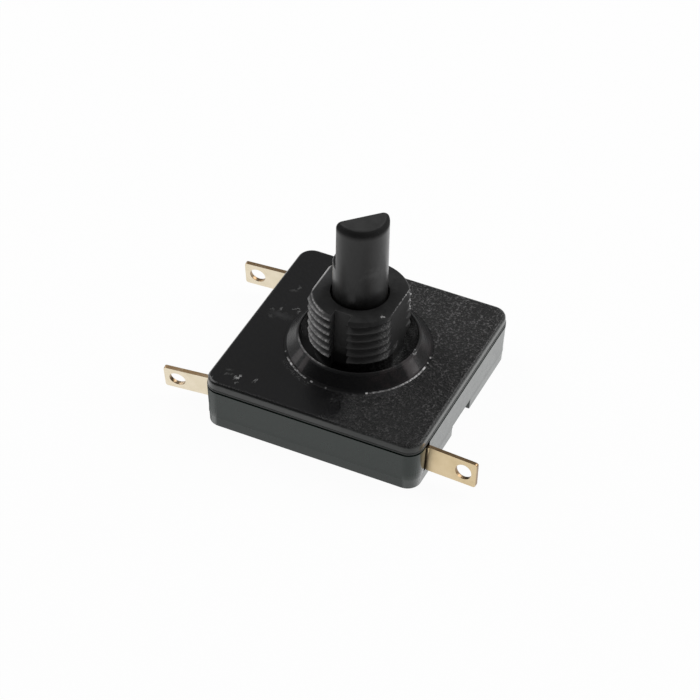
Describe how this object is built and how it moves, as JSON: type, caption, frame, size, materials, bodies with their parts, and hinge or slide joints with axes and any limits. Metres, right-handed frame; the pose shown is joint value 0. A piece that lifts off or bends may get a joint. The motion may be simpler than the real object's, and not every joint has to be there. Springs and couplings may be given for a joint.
{
  "type": "rotary switch",
  "caption": "Panel-mounted rotary switch with a square black housing, threaded flatted bush, half-round shaft and flat brass solder tags.",
  "frame": {"origin": "on the shaft axis, in the plane of the housing's underside", "axes": "+Z along the shaft towards its free end; +X towards the side with one solder tag; -Y towards the side that the bush's keyway faces"},
  "size_m": [0.0392, 0.027, 0.0256],
  "materials": {
    "base_plastic": "satin moulded black",
    "cover_plastic": "glossy moulded black",
    "rotor_plastic": "matt moulded dark grey",
    "tag_brass": "pale brass sheet, sheared edges",
    "ring_brass": "pressed brass",
    "blade_bronze": "rolled phosphor bronze",
    "contact_silver": "silver contact alloy",
    "rivet_copper": "copper rivet",
    "spring_steel": "rolled stainless strip"
  },
  "bodies": {
    "housing": {"base": "base_plastic", "cover": "cover_plastic", "detent_spring": "spring_steel", "terminal_common": "tag_brass", "terminal_first": "tag_brass", "terminal_second": "tag_brass", "blade_common": "blade_bronze", "blade_first": "blade_bronze", "blade_second": "blade_bronze", "tip_common": "contact_silver", "tip_first": "contact_silver", "tip_second": "contact_silver", "blade_rivets": "rivet_copper"},
    "rotor": {"rotor": "rotor_plastic", "contact_ring": "ring_brass"}
  },
  "joints": [
    {"name": "shaft_turn", "type": "hinge", "parent": "housing", "child": "rotor", "pos_m": [0, 0, 0], "axis": [0, 0, -1], "range_deg": [0, 270], "deforming": ["detent_spring"]}
  ]
}
